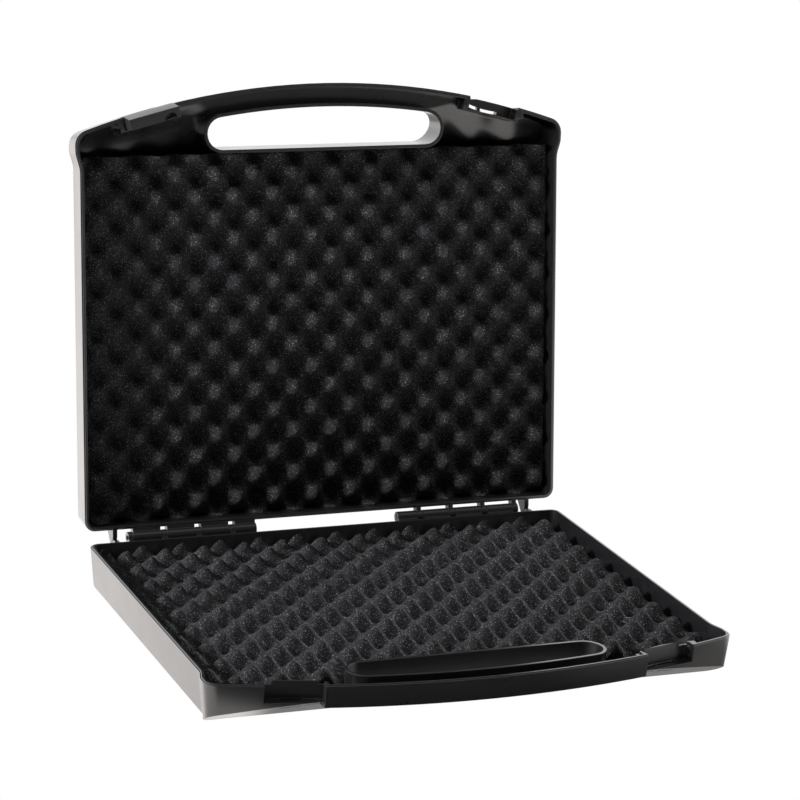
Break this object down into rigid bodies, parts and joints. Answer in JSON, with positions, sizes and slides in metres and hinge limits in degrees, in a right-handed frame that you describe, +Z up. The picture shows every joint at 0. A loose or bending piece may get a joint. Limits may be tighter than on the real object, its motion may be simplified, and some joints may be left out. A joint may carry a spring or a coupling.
{
  "type": "transport case",
  "caption": "Flat moulded carrying case with bumpy foam in both halves, a two-part handle at the front, rear hinges and a swing latch, open with its lid leaning back.",
  "frame": {"origin": "middle of the base's flat underside, where the case rests", "axes": "+Z up, +X to the right seen from the front, -Y towards the handle side of the base and +Y towards the hinges"},
  "size_m": [0.3948, 0.4101, 0.3727],
  "materials": {
    "shell": "black moulded polypropylene, satin to glossy",
    "foam": "charcoal open-cell convoluted foam, matt and grainy",
    "latch": "dark grey moulded plastic with a fine texture",
    "pin": "dark drawn steel"
  },
  "bodies": {
    "base": {"base_shell": "shell", "base_foam": "foam", "hinge_pin_left": "pin", "hinge_pin_right": "pin"},
    "lid": {"lid_shell": "shell", "lid_foam": "foam"},
    "latch": {"latch_left": "latch"}
  },
  "joints": [
    {"name": "lid_hinge", "type": "hinge", "parent": "base", "child": "lid", "pos_m": [0, 0.15018, 0.034], "axis": [1, 0, 0], "range_deg": [0, 97]},
    {"name": "latch_pivot", "type": "hinge", "parent": "lid", "child": "latch", "pos_m": [-0.13918, 0.19699, 0.34964], "axis": [-0.9709, -0.0292, -0.2376], "range_deg": [0, 90]}
  ]
}
